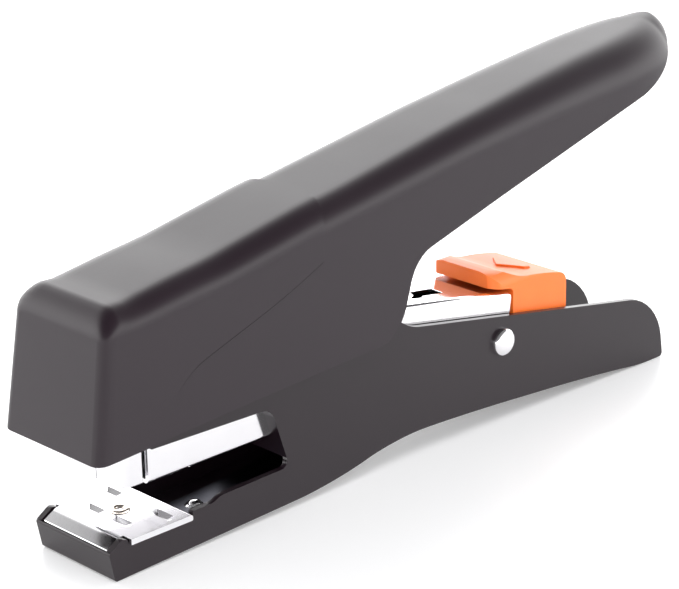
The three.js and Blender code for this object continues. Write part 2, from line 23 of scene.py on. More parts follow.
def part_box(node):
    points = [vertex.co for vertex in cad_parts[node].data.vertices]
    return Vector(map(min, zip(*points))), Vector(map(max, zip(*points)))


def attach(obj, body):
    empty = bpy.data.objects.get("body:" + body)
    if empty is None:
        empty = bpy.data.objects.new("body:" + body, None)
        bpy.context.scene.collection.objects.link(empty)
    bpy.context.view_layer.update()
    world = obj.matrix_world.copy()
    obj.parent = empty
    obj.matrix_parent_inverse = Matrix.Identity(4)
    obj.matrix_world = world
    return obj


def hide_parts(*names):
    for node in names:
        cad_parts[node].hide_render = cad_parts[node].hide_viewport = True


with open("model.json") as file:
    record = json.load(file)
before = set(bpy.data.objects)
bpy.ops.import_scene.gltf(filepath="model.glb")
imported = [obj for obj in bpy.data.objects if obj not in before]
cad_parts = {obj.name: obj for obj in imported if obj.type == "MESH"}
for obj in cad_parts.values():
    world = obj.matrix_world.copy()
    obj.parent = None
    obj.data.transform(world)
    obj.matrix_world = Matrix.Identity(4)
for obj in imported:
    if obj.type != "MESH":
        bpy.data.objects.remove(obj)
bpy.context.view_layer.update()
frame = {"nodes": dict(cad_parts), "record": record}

log = logging.getLogger("stapler")
MM = 0.001
Corner = tuple[float, ...]

# Sizes are in mm from the jaw's front edge, over which the top of the jaw's front panel leans a little.
PANEL_LEAN = 1.1
JAW_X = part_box("base_channel")[0].x / MM + PANEL_LEAN

# The rear rivet, on which the lever arm and the magazine turn, as (x, z).
REAR_RIVET: Corner = (99.9, 17.4)

# How far the cutting solids reach to each side, past every piece.
REACH = 30.0

# Edges that turn by more than this, in degrees, stay sharp.
SHARP_ANGLE = 35.0


class Side(Enum):
    """The two sides of the stapler, across Y."""

    NEAR = -1
    FAR = 1


# --------------------------------------------------------------------------------------------------
# Shader wiring
# --------------------------------------------------------------------------------------------------


class Wire:
    """One output socket of a shader tree, on which plain arithmetic adds Math nodes."""

    def __init__(self, recipe: "Recipe", socket: bpy.types.NodeSocket) -> None:
        """Keeps the tree and the socket."""
        self.recipe = recipe
        self.socket = socket

    def _math(self, operation: str, *values: "Wire | float") -> "Wire":
        """Adds one Math node on these values."""
        return self.recipe.node("ShaderNodeMath", {"operation": operation}, dict(enumerate(values)))

    def __add__(self, other: "Wire | float") -> "Wire":
        """self + other."""
        return self._math("ADD", self, other)

    __radd__ = __add__

    def __mul__(self, other: "Wire | float") -> "Wire":
        """self * other."""
        return self._math("MULTIPLY", self, other)


class Recipe:
    """A node tree around one shader."""

    def __init__(
        self,
        owner: bpy.types.Material | bpy.types.World,
        shader: str = "Principled BSDF",
        place: str = "Object",
    ) -> None:
        """Starts from the owner's own shader.

        Args:
            owner: the material, or the world.
            shader: the name of its shader node.
            place: the coordinates that its patterns follow.
        """
        owner.use_nodes = True
        self.tree = owner.node_tree
        self.shader = self.tree.nodes[shader]
        self.place = self.node("ShaderNodeTexCoord", {}, {}, place)

    def node(
        self,
        kind: str,
        settings: dict[str, object],
        sockets: dict[str | int, object],
        output: str | int = 0,
    ) -> Wire:
        """Adds a node.

        Args:
            kind: the node's type.
            settings: its own settings, set before the sockets.
            sockets: values or wires for its inputs, by name or number.
            output: the output to read.

        Returns:
            The wire from that output.
        """
        made = self.tree.nodes.new(kind)
        for key, value in settings.items():
            if key == "stops":
                for i, (at, colour) in enumerate(value):
                    stops = made.color_ramp.elements
                    stop = stops[i] if i < 2 else stops.new(at)
                    stop.position = at
                    stop.color = (*colour, 1.0)
            else:
                setattr(made, key, value)
        for key, value in sockets.items():
            self.feed(made.inputs[key], value)
        return Wire(self, made.outputs[output])

    def feed(self, socket: bpy.types.NodeSocket, value: object) -> None:
        """Links or sets one input socket."""
        if isinstance(value, Wire):
            self.tree.links.new(value.socket, socket)
        elif isinstance(value, tuple) and len(value) == 3 and socket.type == "RGBA":
            socket.default_value = (*value, 1.0)
        else:
            socket.default_value = value

    def noise(self, size: float, detail: float = 3.0, stretch: Corner = (1.0, 1.0, 1.0)) -> Wire:
        """Noise on object coordinates.

        Args:
            size: the size of its grains, in mm.
            detail: how many finer layers it has.
            stretch: how much finer it is along each axis.

        Returns:
            The noise value, about 0 to 1.
        """
        scaled = self.node("ShaderNodeMapping", {}, {"Vector": self.place, "Scale": stretch})
        return self.node(
            "ShaderNodeTexNoise",
            {},
            {"Vector": scaled, "Scale": 1.0 / (size * MM), "Detail": detail, "Roughness": 0.55},
            "Fac",
        )

    def mix(self, share: Wire | float, a: Corner | Wire, b: Corner | Wire) -> Wire:
        """Mixes two colours."""
        return self.node("ShaderNodeMix", {"data_type": "RGBA"}, {0: share, 6: a, 7: b}, 2)

    def bump(self, height: Wire, depth: float) -> None:
        """Feeds a bump of that depth, in mm, to the shader's normal."""
        bumped = self.node(
            "ShaderNodeBump", {}, {"Height": height, "Strength": 1.0, "Distance": depth * MM}, "Normal"
        )
        self.feed(self.shader.inputs["Normal"], bumped)

    def set(self, **values: object) -> None:
        """Sets or links the shader's inputs; an underscore in a name stands for a space."""
        for key, value in values.items():
            self.feed(self.shader.inputs[key.replace("_", " ")], value)


@dataclass(frozen=True)
class SatinBlack:
    """Black coating or plastic with a fine even grain.

    Attributes:
        name: the material's name.
        colour: its base colour.
        rough: its mean roughness.
        grain: the size of its grain, in mm.
        depth: the grain's depth, in mm.
    """

    name: str
    colour: Corner
    rough: float
    grain: float
    depth: float

    def make(self) -> bpy.types.Material:
        """Builds the material."""
        material = bpy.data.materials.new(self.name)
        recipe = Recipe(material)
        fine = recipe.noise(self.grain, 2.0)
        broad = recipe.noise(14.0, 3.0)
        darker = tuple(c * 0.86 for c in self.colour)
        recipe.set(
            Base_Color=recipe.mix(broad, darker, self.colour),
            Roughness=(self.rough - 0.05) + broad * 0.06 + fine * 0.05,
            Specular_IOR_Level=0.42,
        )
        recipe.bump(fine, self.depth)
        return material


@dataclass(frozen=True)
class BrightPlate:
    """Bright plated steel with faint rolling marks.

    Attributes:
        name: the material's name.
        colour: its reflected colour.
        rough: its mean roughness.
        marks: how deep the rolling marks are, in mm.
    """

    name: str
    colour: Corner = (0.87, 0.86, 0.88)
    rough: float = 0.1
    marks: float = 0.0015

    def make(self) -> bpy.types.Material:
        """Builds the material."""
        material = bpy.data.materials.new(self.name)
        recipe = Recipe(material)
        lines = recipe.noise(0.5, 2.0, (0.06, 1.0, 1.0))
        cloud = recipe.noise(9.0, 3.0)
        dull = tuple(c * 0.93 for c in self.colour)
        recipe.set(
            Base_Color=recipe.mix(cloud, self.colour, dull),
            Metallic=1.0,
            Roughness=(self.rough - 0.03) + cloud * 0.06 + lines * 0.03,
        )
        recipe.bump(lines, self.marks)
        return material


@dataclass(frozen=True)
class MouldedOrange:
    """Orange moulded plastic with a soft skin.

    Attributes:
        name: the material's name.
        colour: its base colour.
    """

    name: str
    colour: Corner = (1.0, 0.2, 0.03)

    def make(self) -> bpy.types.Material:
        """Builds the material."""
        material = bpy.data.materials.new(self.name)
        recipe = Recipe(material)
        fine = recipe.noise(0.3, 2.0)
        broad = recipe.noise(6.0, 2.0)
        deeper = (self.colour[0] * 0.94, self.colour[1] * 0.86, self.colour[2] * 0.8)
        recipe.set(
            Base_Color=recipe.mix(broad, deeper, self.colour),
            Roughness=0.36 + fine * 0.08,
            Subsurface_Weight=0.12,
            Subsurface_Scale=0.001,
            Subsurface_Radius=(1.0, 0.35, 0.12),
        )
        recipe.bump(fine, 0.006)
        return material


class Finishes:
    """Every finish of the stapler, by the record's material slot."""

    def __init__(self) -> None:
        """Makes the materials."""
        self.by_slot: dict[str, bpy.types.Material] = {
            "black_paint": SatinBlack("black_paint", (0.0115, 0.006, 0.0095), 0.3, 0.5, 0.006).make(),
            "black_shell": SatinBlack("black_shell", (0.0125, 0.006, 0.0105), 0.36, 0.3, 0.008).make(),
            "black_block": SatinBlack("black_block", (0.012, 0.011, 0.012), 0.45, 0.4, 0.01).make(),
            "chrome": BrightPlate("chrome").make(),
            "nickel_eyelet": BrightPlate("nickel_eyelet", (0.86, 0.78, 0.7), 0.16).make(),
            "zinc_steel": BrightPlate("zinc_steel", (0.62, 0.62, 0.64), 0.3, 0.003).make(),
            "spring_steel": BrightPlate("spring_steel", (0.5, 0.5, 0.52), 0.28, 0.003).make(),
            # Dark spring steel for the spring seen in the base's window: its dark colour is painted shade,
            # so that it sinks into the shade inside the window.
            "blued_spring": BrightPlate("blued_spring", (0.06, 0.06, 0.075), 0.3, 0.002).make(),
            "staple_wire": BrightPlate("staple_wire", (0.72, 0.72, 0.74), 0.25, 0.003).make(),
            "orange_button": MouldedOrange("orange_button").make(),
        }

    def dress(self, piece: bpy.types.Object, slot: str) -> None:
        """Puts one finish on a piece."""
        piece.data.materials.clear()
        piece.data.materials.append(self.by_slot[slot])

    def dress_frame(self) -> None:
        """Puts its slot's finish on every frame node that still shows."""
        slots = {row["node"]: row["material_slot"] for row in frame["record"]["subparts"]}
        for name, node in frame["nodes"].items():
            if not node.hide_render:
                self.dress(node, slots[name])


# --------------------------------------------------------------------------------------------------
# Workshop: the modelling steps
# --------------------------------------------------------------------------------------------------


class Bench:
    """One piece on the bench, shaped in edit mode. Sizes are in mm from the jaw's front edge."""

    def __init__(self, name: str) -> None:
        """Starts with a single point.

        Args:
            name: the piece's name.
        """
        if bpy.context.object and bpy.context.object.mode == "EDIT":
            bpy.ops.object.mode_set(mode="OBJECT")
        bpy.ops.object.select_all(action="DESELECT")
        bpy.ops.mesh.primitive_plane_add(size=MM, location=(0, 0, 0))
        self.piece = bpy.context.object
        self.piece.name = name
        self.piece.data.name = name
        bpy.ops.object.mode_set(mode="EDIT")
        bpy.ops.mesh.select_mode(type="VERT")
        bpy.ops.mesh.select_all(action="SELECT")
        bpy.ops.mesh.merge(type="CENTER")

    @staticmethod
    def point(x: float, y: float, z: float) -> Vector:
        """A place in mm from the jaw's front edge, in the frame's metres."""
        return Vector(((x + JAW_X) * MM, y * MM, z * MM))

    def mesh(self) -> bmesh.types.BMesh:
        """The edit mesh, with its tables ready."""
        live = bmesh.from_edit_mesh(self.piece.data)
        for part in (live.verts, live.edges, live.faces):
            part.ensure_lookup_table()
        return live

    def push(self) -> None:
        """Sends the selection back to the mesh."""
        bmesh.update_edit_mesh(self.piece.data)

    def pick(self, kind: str, test: Callable[[object], bool]) -> int:
        """Selects only the elements that pass a test.

        Args:
            kind: VERT, EDGE or FACE.
            test: takes a bmesh element.

        Returns:
            How many were picked.
        """
        bpy.ops.mesh.select_all(action="DESELECT")
        bpy.ops.mesh.select_mode(type=kind)
        live = self.mesh()
        source = {"VERT": live.verts, "EDGE": live.edges, "FACE": live.faces}[kind]
        count = 0
        for element in source:
            chosen = bool(test(element))
            element.select_set(chosen)
            count += chosen
        self.push()
        return count

    def trail(self, places: list[Vector]) -> None:
        """Moves the selected point to the first place and extrudes it from each place to the next."""
        bpy.ops.transform.translate(value=places[0])
        for before, after in zip(places, places[1:]):
            bpy.ops.mesh.extrude_vertices_move(TRANSFORM_OT_translate={"value": after - before})

    def outline(self, places: list[Vector], radii: list[float], steps: int = 8) -> None:
        """Draws a closed outline by extruding a point, fills it and rounds its corners.

        Args:
            places: the corners, in the frame's metres.
            radii: each corner's rounding in mm, 0 for a sharp one.
            steps: segments in each rounding.
        """
        self.trail(places)
        bpy.ops.mesh.select_all(action="SELECT")
        bpy.ops.mesh.edge_face_add()
        for place, radius in zip(places, radii):
            if radius > 0:
                self.pick("VERT", lambda v, p=place: (v.co - p).length < 1e-6)
                bpy.ops.mesh.bevel(
                    offset=radius * MM, segments=steps, affect="VERTICES", clamp_overlap=True
                )

    def slab(self, corners: tuple[Corner, ...] | list[Corner], half: float, steps: int = 8) -> None:
        """Extrudes an outline of (x, z, radius) corners right across, half to each side."""
        self.outline([self.point(x, -half, z) for x, z, _ in corners], [c[2] for c in corners], steps)
        self.extrude(dy=2 * half)

    def plan_outline(self, corners: tuple[Corner, ...] | list[Corner], z: float, steps: int = 8) -> None:
        """Draws an outline of (x, y, radius) corners on the plane at z."""
        places = [self.point(c[0], c[1], z) for c in corners]
        self.outline(places, [c[2] if len(c) > 2 else 0 for c in corners], steps)

    def extrude(self, dx: float = 0, dy: float = 0, dz: float = 0) -> None:
        """Extrudes everything drawn so far by a distance in mm and turns the faces outwards."""
        bpy.ops.mesh.select_all(action="SELECT")
        bpy.ops.mesh.extrude_region_move(
            TRANSFORM_OT_translate={"value": (dx * MM, dy * MM, dz * MM)}
        )
        self.tidy()

    def tidy(self, reach: float = 0.002) -> None:
        """Merges doubles within reach mm and turns the faces outwards."""
        bpy.ops.mesh.select_all(action="SELECT")
        bpy.ops.mesh.remove_doubles(threshold=reach * MM)
        bpy.ops.mesh.normals_make_consistent(inside=False)

    def bevel_edges(self, test: Callable[[object], bool], width: float, steps: int) -> None:
        """Rounds the edges that pass a test.

        Args:
            test: takes a bmesh edge.
            width: the rounding in mm.
            steps: its segments.
        """
        if self.pick("EDGE", test):
            bpy.ops.mesh.bevel(
                offset=width * MM, segments=steps, affect="EDGES", clamp_overlap=True, miter_outer="SHARP"
            )

    def drop_faces(self, test: Callable[[object], bool]) -> None:
        """Deletes the faces that pass a test."""
        if self.pick("FACE", test):
            bpy.ops.mesh.delete(type="FACE")

    def object_mode(self) -> bpy.types.Object:
        """Leaves edit mode and gives the piece."""
        if bpy.context.object.mode == "EDIT":
            bpy.ops.object.mode_set(mode="OBJECT")
        return self.piece

    def choose(self) -> None:
        """Makes this the only selected piece, and the active one."""
        bpy.ops.object.select_all(action="DESELECT")
        self.piece.select_set(True)
        bpy.context.view_layer.objects.active = self.piece

    def edit_mode(self) -> None:
        """Goes back to edit mode on this piece."""
        self.choose()
        bpy.ops.object.mode_set(mode="EDIT")

    def modifier(self, kind: str, **settings: object) -> None:
        """Adds a modifier and applies it."""
        self.object_mode()
        self.choose()
        made = self.piece.modifiers.new(kind.title(), kind)
        for key, value in settings.items():
            setattr(made, key, value)
        bpy.ops.object.modifier_apply(modifier=made.name)

    def wall(self, thickness: float) -> None:
        """Gives an open surface a wall inwards, in mm."""
        self.modifier(
            "SOLIDIFY",
            thickness=thickness * MM,
            offset=-1.0,
            use_even_offset=True,
        )

    def soften(self, width: float, steps: int = 2, angle: float = 40) -> None:
        """Rounds every edge sharper than an angle in degrees by a width in mm."""
        self.modifier(
            "BEVEL",
            width=width * MM,
            segments=steps,
            limit_method="ANGLE",
            angle_limit=math.radians(angle),
        )

    def loft(self, rings: list[list[Vector]]) -> None:
        """Draws open cross-sections of equally many points, joins each to the next and closes the rest.

        Args:
            rings: each cross-section's places, in the frame's metres.
        """
        for number, places in enumerate(rings):
            if number:
                bpy.ops.mesh.primitive_plane_add(size=MM, location=(0, 0, 0))
                bpy.ops.mesh.merge(type="CENTER")
            self.trail(places)
        bpy.ops.mesh.select_all(action="SELECT")
        bpy.ops.mesh.remove_doubles(threshold=0.001 * MM)
        live = self.mesh()
        near = KDTree(len(live.verts))
        for vert in live.verts:
            near.insert(vert.co, vert.index)
        near.balance()
        grid = [[near.find(place)[1] for place in places] for places in rings]
        for row, following in zip(grid, grid[1:]):
            for i in range(len(row) - 1):
                corners = dict.fromkeys((row[i], row[i + 1], following[i + 1], following[i]))
                if len(corners) > 2:
                    live.faces.new([live.verts[k] for k in corners])
        self.push()
        for places, row in ((rings[0], set(grid[0])), (rings[-1], set(grid[-1]))):
            if max(place.y for place in places) > MM:
                self.pick("EDGE", lambda e: all(v.index in row for v in e.verts))
                bpy.ops.mesh.edge_face_add()
        self.pick("EDGE", lambda e: len(e.link_faces) == 1)
        bpy.ops.mesh.edge_face_add()
        self.tidy(0.001)

    def turn(self, foot: Vector, axis: Vector, profile: list[Corner], steps: int = 32) -> None:
        """Turns a profile about an axis into a closed round piece.

        Args:
            foot: the place on the axis at height 0, in the frame's metres.
            axis: the axis's direction, of length 1.
            profile: (radius, height) pairs in mm, from the axis back to the axis.
            steps: segments round it.
        """
        out = Vector((1, 0, 0))
        places = [foot + out * (r * MM) + axis * (h * MM) for r, h in profile]
        self.trail(places)
        bpy.ops.mesh.select_all(action="SELECT")
        bpy.ops.mesh.spin(steps=steps, angle=2 * math.pi, center=foot, axis=axis)
        self.tidy(0.003)

    def mark(self, name: str) -> None:
        """Puts a plain marker material on the piece, so that a boolean's faces can be told apart."""
        marker = bpy.data.materials.get(name) or bpy.data.materials.new(name)
        self.piece.data.materials.append(marker)

    def keep(self, tool: "Bench") -> None:
        """Keeps only what lies inside another closed piece and deletes that piece."""
        self.meet(tool, "INTERSECT")

    def meet(self, tool: "Bench", operation: str) -> None:
        """Cuts the piece with another closed piece, marks the new faces and deletes the tool."""
        tool.object_mode()
        self.object_mode()
        if not self.piece.data.materials:
            self.mark("skin")
        tool.mark("cut")
        self.modifier(
            "BOOLEAN", operation=operation, object=tool.piece, solver="EXACT", material_mode="TRANSFER"
        )
        bpy.data.objects.remove(tool.piece)

    def drop_cut_faces(self) -> None:
        """Deletes the faces that the booleans made, so that an open shell is left."""
        index = self.piece.data.materials.find("cut")
        self.edit_mode()
        self.drop_faces(lambda f: f.material_index == index)
        bpy.ops.mesh.select_all(action="SELECT")
        bpy.ops.mesh.remove_doubles(threshold=0.01 * MM)
        self.object_mode()

    def cut(self, tool: "Bench") -> None:
        """Cuts another closed piece's shape out of this one and deletes that piece."""
        self.meet(tool, "DIFFERENCE")

    def finish(self, finishes: Finishes, slot: str, body: str, nodes: tuple[str, ...] = ()) -> None:
        """Smooths the piece, dresses it and fixes it to its body.

        Args:
            finishes: the finishes.
            slot: the record's material slot.
            body: the body that it rides on.
            nodes: the frame nodes that it stands for.
        """
        piece = self.object_mode()
        self.choose()
        for face in piece.data.polygons:
            face.material_index = 0
        bpy.ops.object.shade_smooth_by_angle(angle=math.radians(SHARP_ANGLE))
        self.modifier("WEIGHTED_NORMAL", keep_sharp=True)
        finishes.dress(piece, slot)
        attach(piece, body)
        if nodes:
            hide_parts(*nodes)
        log.info("built %s: %d faces", piece.name, len(piece.data.polygons))


def middle(edge: bmesh.types.BMEdge) -> Vector:
    """An edge's middle in mm from the jaw's front edge."""
    at = (edge.verts[0].co + edge.verts[1].co) / 2 / MM
    return Vector((at.x - JAW_X, at.y, at.z))


def centre(face: bmesh.types.BMFace) -> Vector:
    """A face's centre in mm from the jaw's front edge."""
    at = face.calc_center_median() / MM
    return Vector((at.x - JAW_X, at.y, at.z))


# --------------------------------------------------------------------------------------------------
# Sub-assemblies
# --------------------------------------------------------------------------------------------------


@dataclass
class Base:
    """The black sheet-steel base, bent up from its side outline.

    Attributes:
        half: half the base's outer width, in mm.
        sheet: its steel's thickness.
        bend: the rounding where its floor turns up into its walls.
        side: its side outline from the jaw's front edge round to the front again, as (x, z, rounding).
    """

    finishes: Finishes
    half: float = 10.5
    sheet: float = 1.2
    bend: float = 1.5
    side: tuple[Corner, ...] = (
        (0.0, 0.0, 0.5), (53, 1.75, 9), (70, 5.8, 8), (90.6, 4.9, 10), (127, 2.0, 10),
        (143.4, 0.0, 2.5), (150.8, 0.0, 1.0), (148.8, 13.9, 9), (74, 27.4, 2.5),
        (70.5, 30.0, 1), (66, 29.0, 0), (26, 29.0, 3), (19, 37.0, 3), (8.6, 37.0, 3),
        (9, 22.4, 0.8), (37.8, 21.6, 2.2), (41.9, 8.8, 2), (25, 8.5, 0.8), (23, 7.6, 0.8),
        (18.2, 7.6, 0.3), (18.2, 6.3, 0.2), (3.4, 6.3, 0.3), (3.2, 7.2, 0.3), (1.9, 7.6, 0.5),
        (-1.1, 5.7, 0.5),
    )

    def build(self) -> None:
        """Bends the channel up from its side outline and gives it its wall."""
        bench = Bench("base_frame")
        bench.slab(self.side, self.half)

        def folded(edge: bmesh.types.BMEdge) -> bool:
            """Whether an edge lies where the floor or the front turns into a side."""
            at = middle(edge)
            outside = abs(abs(at.y) - self.half) < 0.01
            below = any(f.normal.z < -0.7 for f in edge.link_faces)
            ahead = any(f.normal.x < -0.9 for f in edge.link_faces) and at.z < 5.2
            return outside and at.z < 6.5 and (below or ahead) and at.x < 150.0

        bench.bevel_edges(folded, self.bend, 5)

        def opened(face: bmesh.types.BMFace) -> bool:
            """Whether a face is one of the prism's that the sheet leaves open."""
            at = centre(face)
            if abs(face.normal.y) > 0.2 or face.normal.z < -0.3:
                return False
            return not (at.x < 0.6 and at.z < 5.7 and face.normal.x < -0.3)

        bench.drop_faces(opened)
        bench.wall(self.sheet)
        bench.soften(0.22, 3)
        bench.finish(self.finishes, "black_paint", "base", ("base_channel",))


@dataclass(frozen=True)
class Arch:
    """One cross-section of the handle.

    Attributes:
        x: where it stands.
        top: its top.
        half: half its width.
        round: the rounding of its top's edges.
    """

    x: float
    top: float
    half: float
    round: float


@dataclass
class Handle:
    """The moulded handle and its nose cap.

    Attributes:
        line: the handle's top along its middle, as (x, height, rounding of its top edges).
        half: half its width just under its rounded top.
        flare: how much wider each side gets per millimetre down.
        rear: its back end.
        taper: the length over which its back end draws in.
        square: how square its back end is; 2 is an ellipse.
        rear_round: the most that its top's rounding takes of the half width at its back end.
        wall: its thickness.
        lower: the region above its lower edge, seen from the side.
        seam: the region that the nose cap takes, seen from the side.
        bulge: how much further back the cap reaches in the middle than at its sides.
        seam_half: half the width over which that bulge fades out.
        nose: the front of the nose at its lower edge.
        nose_round: the rounding over the top of the nose's front.
        nose_edge: the rounding of the nose's upright edges.
        lean: how far the nose's front leans back per millimetre of height.
        proud: how far the cap's sides stand out from the shell.
        lift: how far the cap's top stands above it.
        cap_wall: the cap's thickness.
        gap: the gap along the seam.
        foot: the height at which the drawn walls end, below every lower edge.
        nose_foot: the height of the nose's lower edge.
        nose_height: how high its front rises over which it leans.
        fade: the length over which the nose's lean fades out.
        step: the distance between the shell's cross-sections.
        cap_step: the distance between the cap's.
    """

    finishes: Finishes
    line: tuple[Corner, ...] = (
        (2, 49.7, 4.6), (26, 52.7, 4.9), (47.7, 56.9, 5.1), (60, 58.9, 5.3), (90, 64.2, 6.2),
        (114, 67.9, 7.2), (128.8, 70.0, 8.0), (155.8, 72.95, 8.8),
    )
    half: float = 12.45
    flare: float = 0.042
    rear: float = 155.5
    taper: float = 27.0
    square: float = 3.6
    rear_round: float = 0.9
    wall: float = 0.9
    lower: tuple[Corner, ...] = (
        (-20, 24, 0), (-4.7, 24, 0), (8.6, 24.6, 4), (42.2, 26.5, 10), (65.5, 27.5, 2),
        (69.5, 31.5, 2), (73.4, 42.4, 4), (115.8, 54.1, 20), (136.8, 59.4, 6), (143.8, 61.1, 4),
        (149.8, 65.3, 6), (154.0, 70.0, 4), (156.3, 72.6, 0), (161, 100, 0), (-20, 100, 0),
    )
    seam: tuple[Corner, ...] = (
        (-20, 24.0, 0), (-4.7, 24.0, 0), (8.6, 24.7, 0), (8.6, 25.2, 1), (14.6, 35.2, 6),
        (42, 44.2, 8), (50, 48, 4), (50, 53, 1), (60, 53, 0), (60, 70, 0), (-20, 70, 0),
    )
    bulge: float = 3.3
    seam_half: float = 12.6
    nose: float = -4.7
    nose_round: float = 4.5
    nose_edge: float = 2.2
    lean: float = 0.154
    proud: float = 0.42
    lift: float = 0.8
    cap_wall: float = 1.2
    gap: float = 0.3
    foot: float = 15.0
    nose_foot: float = 24.0
    nose_height: float = 25.0
    fade: float = 22.0
    step: float = 6.0
    cap_step: float = 4.0

    def height(self, x: float) -> tuple[float, float]:
        """The handle's top and its edges' rounding at x."""
        (x0, z0, r0), (x1, z1, r1) = self.line[:2]
        for (x0, z0, r0), (x1, z1, r1) in zip(self.line, self.line[1:]):
            if x <= x1:
                break
        share = (x - x0) / (x1 - x0)
        return z0 + (z1 - z0) * share, r0 + (r1 - r0) * max(min(share, 1.0), 0.0)

    def arches(self) -> list[Arch]:
        """The shell's cross-sections, from under the cap to the back end."""
        start = self.rear - self.taper
        made = []
        for x in [self.step * i for i in range(1, int(start / self.step) + 1)]:
            top, rounding = self.height(x)
            made.append(Arch(x, top, self.half, rounding))
        for angle in range(4, 91, 3):
            share = math.sin(math.radians(angle)) ** (2 / self.square)
            x = start + self.taper * share
            if x <= made[-1].x + 0.02:
                continue
            top, rounding = self.height(x)
            width = max(1 - share**self.square, 0.0) ** (1 / self.square)
            made.append(Arch(x, top, self.half * width, min(rounding, self.half * width * self.rear_round)))
        return made

    def nose_arches(self) -> list[Arch]:
        """The cap's cross-sections, from the nose's flat front to behind the seam."""
        made = []
        for angle in range(0, 91, 15):
            depth = self.nose_round * (1 - math.cos(math.radians(angle)))
            ball = self.nose_round * math.sin(math.radians(angle))
            short = max(self.nose_edge - depth, 0.0)
            width = self.half + self.proud - self.nose_edge + math.sqrt(self.nose_edge**2 - short**2)
            x = self.nose + depth
            top = self.height(x + self.lean * self.nose_height)[0] + self.lift
            made.append(Arch(x, top - self.nose_round + ball, width, ball))
        for x in [3.0 + i * self.cap_step for i in range(14)]:
            top, rounding = self.height(x)
            made.append(Arch(x, top + self.lift, self.half + self.proud, rounding))
        return made

    def ring(self, arch: Arch, steps: int = 14) -> list[Vector]:
        """One cross-section's places, from its left foot over its top to its right foot."""
        lean = self.lean * max(0.0, 1 - (arch.x - self.nose) / self.fade)
        sides = []
        for i in range(-steps, steps + 1):
            y = arch.half * math.sin(math.pi / 2 * i / steps)
            over = max(arch.round - (arch.half - abs(y)), 0.0)
            sides.append((y, arch.top - arch.round + math.sqrt(max(arch.round**2 - over**2, 0.0))))
        spread = arch.half + self.flare * (sides[0][1] - self.foot) * min(arch.half / self.half, 1.0)
        outline = [(-spread, self.foot), *sides, (spread, self.foot)]
        return [Bench.point(arch.x + lean * (z - self.nose_foot), y, z) for y, z in outline]

    def prism(self, corners: tuple[Corner, ...]) -> Bench:
        """A side region as a solid right across the handle."""
        bench = Bench("region")
        bench.slab(corners, REACH)
        return bench

    def seam_arc(self) -> Bench:
        """The region ahead of the cap's back edge as seen from above, as a solid."""
        bench = Bench("arc")
        edge = self.seam[7][0]
        places = [(-20.0, -20.0), (-20.0, 20.0), (edge - 6, 20.0)]
        for i in range(8, -9, -1):
            share = i / 8
            places.append((edge + self.bulge * (1 - share**2), self.seam_half * share))
        places.append((edge - 6, -20.0))
        bench.plan_outline(places, 0)
        bench.extrude(dz=90)
        return bench

    def build_shell(self) -> None:
        """Builds the long shell behind and under the cap."""
        bench = Bench("handle_grip")
        bench.loft([self.ring(arch) for arch in self.arches()])
        bench.keep(self.prism(self.lower))
        region = self.prism(tuple((x + self.gap, z - self.gap, r) for x, z, r in self.seam))
        region.keep(self.seam_arc())
        bench.cut(region)
        bench.drop_cut_faces()
        bench.edit_mode()
        bench.drop_faces(lambda f: centre(f).z < self.foot + 0.5 or f.normal.z < -0.9)
        bench.wall(self.wall)
        bench.soften(0.2, 2, 50)
        bench.finish(self.finishes, "black_shell", "handle", ("handle_shell",))

    def build_cap(self) -> None:
        """Builds the nose cap."""
        bench = Bench("nose_hood")
        bench.loft([self.ring(arch) for arch in self.nose_arches()])
        bench.keep(self.prism(self.seam))
        bench.keep(self.seam_arc())
        bench.drop_cut_faces()
        bench.wall(self.cap_wall)
        bench.soften(0.5, 5, 50)
        bench.finish(self.finishes, "black_shell", "handle", ("nose_cap",))

    def build(self) -> None:
        """Builds the handle's two mouldings."""
        self.build_shell()
        self.build_cap()


